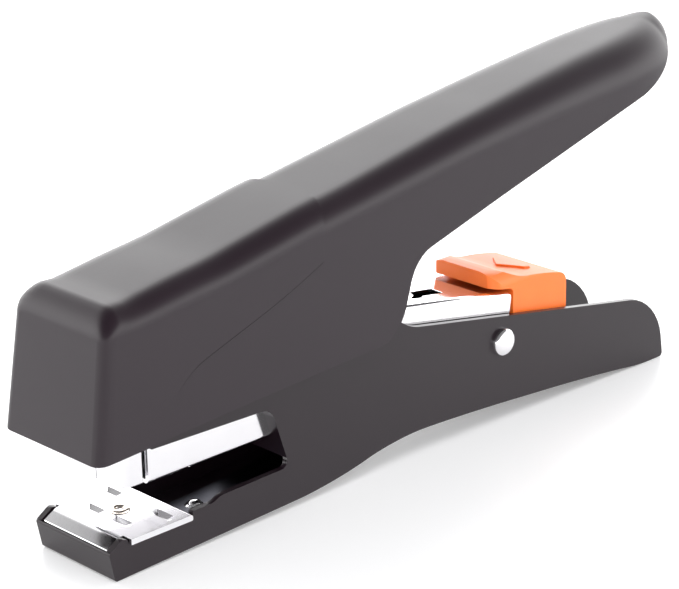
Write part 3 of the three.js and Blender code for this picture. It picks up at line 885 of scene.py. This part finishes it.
@dataclass
class Anvil:
    """The bright anvil plate, its eyelet, and the rivets of the base.

    Attributes:
        top: the plate's top.
        half: half its width over its folded edges.
        sheet: its thickness; not used.
        front: where its flat part begins.
        rear: its back edge.
        lip: how far its folded edges reach down.
        between: half the width of the sloping front part, between the base's walls.
        eyelet: the eyelet's place along the jaw.
        rivet: the rear rivet's place, (x, z).
        head: the rear rivet's head, (radius, height).
        outside: the base's outer half width, on which the rivet heads sit.
        spring_rivet: the floor rivet's place along the jaw.
        pockets: the places of the forming pockets on one side of the middle.
    """

    finishes: Finishes
    top: float = 7.4
    half: float = 11.3
    sheet: float = 0.9
    front: float = 2.2
    rear: float = 17.6
    lip: float = 1.1
    between: float = 9.0
    eyelet: float = 9.9
    rivet: Corner = REAR_RIVET
    head: Corner = (2.85, 1.5)
    outside: float = 10.5
    spring_rivet: float = 27.4
    pockets: tuple[Corner, ...] = ((6.9, 3.7), (13.8, 7.2))

    def build_plate(self) -> None:
        """Builds the plate, with its sloping front and four pressed pockets."""
        bench = Bench("anvil_sheet")
        side = [
            (self.front - 2.75, 5.75, 0.35),
            (self.front - 2.45, 5.2, 0.2),
            (self.front + 0.2, self.top - self.lip, 0.4),
            (self.rear, self.top - self.lip, 0.3),
            (self.rear, self.top, 0.4),
            (self.front, self.top, 0.8),
        ]
        bench.slab(side, self.half, 4)
        for side in Side:
            corner = Bench("corner")
            inner, outer, back = self.between * side.value, 20.0 * side.value, self.front + 1.2
            corner.plan_outline([(-5, inner), (back, inner), (back, outer), (-5, outer)], 0)
            corner.extrude(dz=20)
            bench.cut(corner)
        for x, y in self.pockets:
            for side in Side:
                bench.cut(self.pocket(x, y * side.value))
        bench.soften(0.16, 3, 30)
        bench.finish(self.finishes, "chrome", "base", ("anvil_plate",))

    def pocket(self, x: float, y: float) -> Bench:
        """A forming pocket as a solid: a shallow trough with two sloping faces."""
        bench = Bench("pocket")
        signs = ((-1, -1), (1, -1), (1, 1), (-1, 1))
        bench.plan_outline([(x + 1.2 * i, y + 3.2 * j, 1.1) for i, j in signs], self.top + 0.1, 5)
        bpy.ops.mesh.select_mode(type="FACE")
        bpy.ops.mesh.select_all(action="SELECT")
        bpy.ops.mesh.extrude_region_move(TRANSFORM_OT_translate={"value": (0, 0, -0.75 * MM)})
        bpy.ops.transform.resize(
            value=(0.1, 0.5, 1), center_override=Bench.point(x, y, self.top - 0.65)
        )
        bench.tidy(0.001)
        return bench

    def build_eyelet(self) -> None:
        """Builds the eyelet in the middle of the plate."""
        bench = Bench("anvil_ring")
        profile = [
            (0, -0.3), (0.75, -0.3), (0.85, 0.1), (1.0, 0.32), (1.25, 0.42), (1.6, 0.42),
            (1.85, 0.3), (1.95, 0.1), (1.95, -0.1), (0, -0.6),
        ]
        bench.turn(bench.point(self.eyelet, 0, self.top), Vector((0, 0, 1)), profile)
        bench.finish(self.finishes, "nickel_eyelet", "base", ("anvil_eyelet",))

    def build_heads(self) -> None:
        """Builds the two heads of the rear rivet and the floor rivet's domed head."""
        radius, height = self.head
        profile = [
            (0, height),
            (radius * 0.45, height - 0.05),
            (radius * 0.75, height - 0.2),
            (radius * 0.92, height - 0.45),
            (radius, height - 0.8),
            (radius, 0.0),
            (0, 0.0),
        ]
        for node in ("rear_rivet_left", "rear_rivet_right"):
            side = Side.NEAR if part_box(node)[0].y < 0 else Side.FAR
            bench = Bench(node + "_head")
            foot = bench.point(self.rivet[0], self.outside * side.value, self.rivet[1])
            bench.turn(foot, Vector((0, side.value, 0)), profile)
            bench.finish(self.finishes, "chrome", "base", (node,))
        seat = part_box("floor_rivet")[1].z / MM - 1.5
        bench = Bench("floor_rivet_head")
        dome = [
            (0, 1.5), (0.6, 1.45), (1.05, 1.25), (1.3, 0.95), (1.4, 0.72), (1.6, 0.66),
            (1.9, 0.55), (2.1, 0.3), (2.1, 0.0), (0, 0.0),
        ]
        bench.turn(bench.point(self.spring_rivet, 0, seat), Vector((0, 0, 1)), dome)
        bench.finish(self.finishes, "chrome", "base", ("floor_rivet",))

    def build(self) -> None:
        """Builds the plate, the eyelet and the rivet heads."""
        self.build_plate()
        self.build_eyelet()
        self.build_heads()


@dataclass
class Lever:
    """The bright lever arm that drives the staples.

    Attributes:
        pivot: the rear rivet's place, (x, z).
        tilt: how far it is raised at rest, in degrees.
        half: half its width.
        wall: its steel's thickness.
        bend: the rounding where its top turns into its sides.
        side: its side outline before it is tilted, from the rivet, as (x, z, rounding).
        slot: the slot in its top, in plan from the rivet.
    """

    finishes: Finishes
    pivot: Corner = REAR_RIVET
    tilt: float = 9.25
    half: float = 8.95
    wall: float = 0.8
    bend: float = 1.6
    side: tuple[Corner, ...] = (
        (3.1, 9.55, 0), (-94.2, 9.55, 0), (-94.2, 4.15, 0.6), (-24, 2.95, 8), (-6, -4.4, 3),
        (3.1, -4.4, 2),
    )
    slot: tuple[Corner, ...] = (
        (-17.2, -0.55, 0.5), (-10.9, -0.1, 0.5), (-11.1, -3.8, 0.5), (-17.5, -4.0, 0.3),
        (-17.5, -4.9, 0.2), (-20.6, -4.9, 0.2), (-20.4, -4.1, 0.2), (-18.6, -3.0, 0.3),
    )

    def tilted(self, x: float, y: float, z: float) -> Vector:
        """A place in the untilted arm, from the rivet, in the frame's metres."""
        a = math.radians(self.tilt)
        along = x * math.cos(a) + z * math.sin(a)
        up = z * math.cos(a) - x * math.sin(a)
        return Bench.point(self.pivot[0] + along, y, self.pivot[1] + up)

    def build(self) -> None:
        """Bends the arm up from its side outline and cuts its slot."""
        bench = Bench("lever_arm")
        places = [self.tilted(x, -self.half, z) for x, z, _ in self.side]
        bench.outline(places, [rounding for _, _, rounding in self.side], 6)
        bench.extrude(dy=2 * self.half)

        def folded(edge: bmesh.types.BMEdge) -> bool:
            """Whether an edge lies where the top turns into a side."""
            above = any(f.normal.z > 0.95 for f in edge.link_faces)
            return above and any(abs(f.normal.y) > 0.9 for f in edge.link_faces)

        bench.bevel_edges(folded, self.bend, 6)
        bench.drop_faces(lambda f: abs(f.normal.y) < 0.05 and f.normal.z < 0.9)
        bench.wall(self.wall)
        slot = Bench("slot")
        slot.outline([self.tilted(x, y, 6) for x, y, _ in self.slot], [c[2] for c in self.slot], 4)
        slot.extrude(dz=8)
        bench.cut(slot)
        bench.soften(0.13, 2, 40)
        bench.finish(self.finishes, "chrome", "driver", ("driver_arm",))


@dataclass
class Magazine:
    """The bright magazine and the guard folded round its front.

    Attributes:
        front: the magazine's front end.
        rear: its back end.
        bottom: its underside.
        top: its walls' top.
        half: half its width.
        wall: its steel's thickness.
        bend: the rounding at its bottom edges.
        notch: the notch across its floor, (start, end, height).
        guard: the guard's (front, back, bottom, top).
        guard_round: the rounding of its upright corners.
        seam: the slit where its two wings meet, (y, width).
    """

    finishes: Finishes
    front: float = 10.6
    rear: float = 102.9
    bottom: float = 14.5
    top: float = 21.4
    half: float = 7.85
    wall: float = 0.8
    bend: float = 1.0
    notch: Corner = (18.6, 20.6, 0.5)
    guard: Corner = (4.7, 9.4, 15.2, 24.2)
    guard_round: float = 2.8
    seam: Corner = (-0.4, 0.22)

    def build_channel(self) -> None:
        """Bends the magazine's channel."""
        bench = Bench("staple_channel")
        low, high, half = self.bottom, self.top, self.half
        corners = [(-half, high), (-half, low), (half, low), (half, high)]
        bench.outline([bench.point(self.front, y, z) for y, z in corners], [0, self.bend, self.bend, 0], 5)
        bench.extrude(dx=self.rear - self.front)
        bench.drop_faces(lambda f: f.normal.z > 0.9 or abs(f.normal.x) > 0.9)
        bench.wall(self.wall)
        start, end, height = self.notch
        cutter = Bench("notch")
        top = low + height
        cutter.slab([(start, 10, 0), (end, 10, 0), (end, top, 0.3), (start, top, 0.3)], REACH, 4)
        bench.cut(cutter)
        bench.soften(0.16, 3, 40)
        bench.finish(self.finishes, "chrome", "magazine", ("magazine_channel",))

    def build_guard(self) -> None:
        """Folds the guard and slits it where its wings meet."""
        front, rear, bottom, top = self.guard
        bench = Bench("guard_plate")
        bench.plan_outline(
            [
                (rear, -self.half, 0),
                (front, -self.half, self.guard_round),
                (front, self.half, self.guard_round),
                (rear, self.half, 0),
            ],
            bottom,
            8,
        )
        bench.extrude(dz=top - bottom)
        bench.drop_faces(lambda f: abs(f.normal.z) > 0.9 or f.normal.x > 0.9)
        bench.wall(self.wall)
        y, width = self.seam
        slit = Bench("slit")
        near, far = y - width / 2, y + width / 2
        slit.plan_outline([(front - 2, near), (front + 2, near), (front + 2, far), (front - 2, far)], 10)
        slit.extrude(dz=20)
        bench.cut(slit)
        bench.soften(0.2, 3, 40)
        bench.finish(self.finishes, "chrome", "magazine", ("front_guard",))

    def build(self) -> None:
        """Builds the channel and the guard."""
        self.build_channel()
        self.build_guard()


@dataclass
class Button:
    """The orange release button with its wide thumb lip.

    Attributes:
        half: half its width.
        side: its side outline, as (x, z, rounding).
        section: its outline from the back, as (y, z, rounding).
        corner: the rounding of the lip's corners in plan.
        tip: the lip's front.
        rear: the back.
        soft: the rounding of all its edges.
        raised: how high the arrow stands.
        arrow: its outline in plan.
    """

    finishes: Finishes
    half: float = 8.9
    side: tuple[Corner, ...] = (
        (104.9, 16.4, 0.5), (120.9, 16.4, 0.5), (120.9, 26.2, 1.8), (114.5, 28.0, 8),
        (108.0, 28.6, 4), (105.2, 29.6, 3), (102.4, 31.0, 3), (99.2, 31.0, 0), (99.2, 27.9, 0),
        (104.9, 27.0, 1),
    )
    section: tuple[Corner, ...] = (
        (-8.9, 0, 0), (8.9, 0, 0), (8.9, 30.2, 2.6), (0, 32.2, 14), (-8.9, 30.2, 2.6),
    )
    corner: float = 4.0
    tip: float = 98.7
    rear: float = 120.9
    soft: float = 1.1
    raised: float = 0.4
    arrow: tuple[Corner, ...] = (
        (109.4, 0), (113.2, 4.4), (114.8, 4.4), (111.4, 0), (114.8, -4.4), (113.2, -4.4),
    )

    def build_body(self) -> None:
        """Builds the button."""
        bench = Bench("thumb_button")
        bench.slab(self.side, self.half, 6)
        arch = Bench("arch")
        arch.outline([arch.point(90, y, z) for y, z, _ in self.section], [c[2] for c in self.section], 8)
        arch.extrude(dx=40)
        bench.keep(arch)
        plan = Bench("plan")
        plan.plan_outline(
            [
                (self.tip, -self.half, self.corner),
                (self.tip, self.half, self.corner),
                (self.rear + 5, self.half, 0),
                (self.rear + 5, -self.half, 0),
            ],
            0,
            8,
        )
        plan.extrude(dz=50)
        bench.keep(plan)
        bench.soften(self.soft, 4, 35)
        bench.finish(self.finishes, "orange_button", "button", ("release_button",))

    def build_arrow(self) -> None:
        """Raises a plain arrow on the button's top."""
        bench = Bench("button_arrow")
        bench.plan_outline(self.arrow, 26.5)
        bench.extrude(dz=6)
        lid = Bench("lid")
        lid.slab([(x, z + self.raised, r) for x, z, r in self.side], self.half, 6)
        bench.keep(lid)
        bench.soften(0.1, 2, 35)
        bench.finish(self.finishes, "orange_button", "button")

    def build(self) -> None:
        """Builds the button and its arrow."""
        self.build_body()
        self.build_arrow()


def look_at(camera: bpy.types.Object, azimuth: float, elevation: float, roll: float) -> None:
    """Turns the camera to a direction, in degrees."""
    a, e, r = (math.radians(v) for v in (azimuth, elevation, roll))
    back = Vector((math.sin(a) * math.cos(e), -math.cos(a) * math.cos(e), math.sin(e)))
    right = (-back).cross(Vector((0, 0, 1))).normalized()
    up = right.cross(-back)
    right, up = right * math.cos(r) + up * math.sin(r), up * math.cos(r) - right * math.sin(r)
    turn = Matrix((right, up, back)).transposed()
    camera.rotation_euler = turn.to_euler()


@dataclass(frozen=True)
class Studio:
    """The pale floor, the soft lights and the camera.

    Attributes:
        eye: the camera's place in mm from the jaw's front edge.
        lens: its focal length in mm.
        sensor: its sensor's width in mm.
        azimuth: the direction it looks from, in degrees.
        elevation: how high it looks from, in degrees.
        roll: how far it is turned about its view, in degrees.
        shift: its lens shift.
        sky: the surroundings' shade from the bright low side behind to the dim side overhead and in front.
        toward: the direction in which the surroundings get dimmer.
        brightness: the surroundings' strength.
        glow: how much the floor gives out by itself.
        floor: the floor's width, in metres.
        lights: each light's place in mm, its width in metres and its power, by name.
    """

    eye: Corner = (-236.9, -319.4, 193.3)
    lens: float = 129.9
    sensor: float = 36.0
    azimuth: float = -43.45
    elevation: float = 20.31
    roll: float = -1.15
    shift: Corner = (-0.0016, 0.0241)
    sky: tuple[Corner, ...] = ((0.0, 1.0), (0.67, 1.0), (0.76, 0.1), (1.0, 0.06))
    toward: Corner = (-0.24, -0.26, 1.0)
    brightness: float = 3.3
    glow: float = 0.22
    floor: float = 6.0
    lights: tuple[tuple[str, Corner, float, float], ...] = (
        ("key", (-250, -350, 700), 0.45, 3.2),
        ("fill", (-450, -600, 250), 0.4, 1.6),
    )

    def camera(self) -> None:
        """Sets up the camera."""
        data = bpy.data.cameras.new("camera")
        camera = bpy.data.objects.new("camera", data)
        bpy.context.scene.collection.objects.link(camera)
        camera.location = Bench.point(*self.eye)
        look_at(camera, self.azimuth, self.elevation, self.roll)
        data.lens = self.lens
        data.sensor_width = self.sensor
        data.shift_x, data.shift_y = self.shift
        data.clip_start = 0.01
        bpy.context.scene.camera = camera

    def light(self, name: str, place: Corner, size: float, power: float) -> None:
        """Adds one soft square light aimed at the stapler, with its place in mm."""
        data = bpy.data.lights.new(name, "AREA")
        data.shape = "SQUARE"
        data.size = size
        data.energy = power
        lamp = bpy.data.objects.new(name, data)
        lamp.visible_glossy = False
        bpy.context.scene.collection.objects.link(lamp)
        lamp.location = Vector(place) * MM
        lamp.rotation_euler = (-lamp.location).to_track_quat("-Z", "Y").to_euler()

    def backdrop(self) -> None:
        """Sets the surroundings: bright near the horizon and dim overhead."""
        world = bpy.data.worlds.new("studio")
        recipe = Recipe(world, "Background", "Generated")
        slope = recipe.node(
            "ShaderNodeVectorMath", {"operation": "DOT_PRODUCT"}, {0: recipe.place, 1: self.toward}, "Value"
        )
        stops = [(at, (shade, shade, shade)) for at, shade in self.sky]
        shade = recipe.node("ShaderNodeValToRGB", {"stops": stops}, {"Fac": slope * 0.5 + 0.5}, "Color")
        recipe.set(Color=shade, Strength=self.brightness)
        bpy.context.scene.world = world

    def ground(self) -> None:
        """Lays the pale floor, lit a little from within so that it stays white."""
        bpy.ops.object.select_all(action="DESELECT")
        bpy.ops.mesh.primitive_plane_add(size=self.floor, location=(0, 0, -0.0001))
        floor = bpy.context.object
        floor.name = "floor"
        material = bpy.data.materials.new("floor")
        recipe = Recipe(material)
        recipe.set(
            Base_Color=(0.85, 0.85, 0.86),
            Roughness=0.35,
            Emission_Color=(1.0, 1.0, 1.0),
            Emission_Strength=self.glow,
        )
        floor.data.materials.append(material)

    def build(self) -> None:
        """Builds the floor, lights, world and camera."""
        self.camera()
        self.ground()
        self.backdrop()
        for name, place, size, power in self.lights:
            self.light(name, place, size, power)
        bpy.context.scene.view_settings.view_transform = "Standard"


def main() -> None:
    """Builds the stapler and its studio in order."""
    logging.basicConfig(level=logging.INFO, format="%(message)s")
    finishes = Finishes()
    for kind in (Base, Handle, Anvil, Lever, Magazine, Button):
        assembly = kind(finishes)
        assembly.build()
        log.info("%s done", type(assembly).__name__)
    finishes.dress_frame()
    Studio().build()


if __name__ == "__main__":
    main()
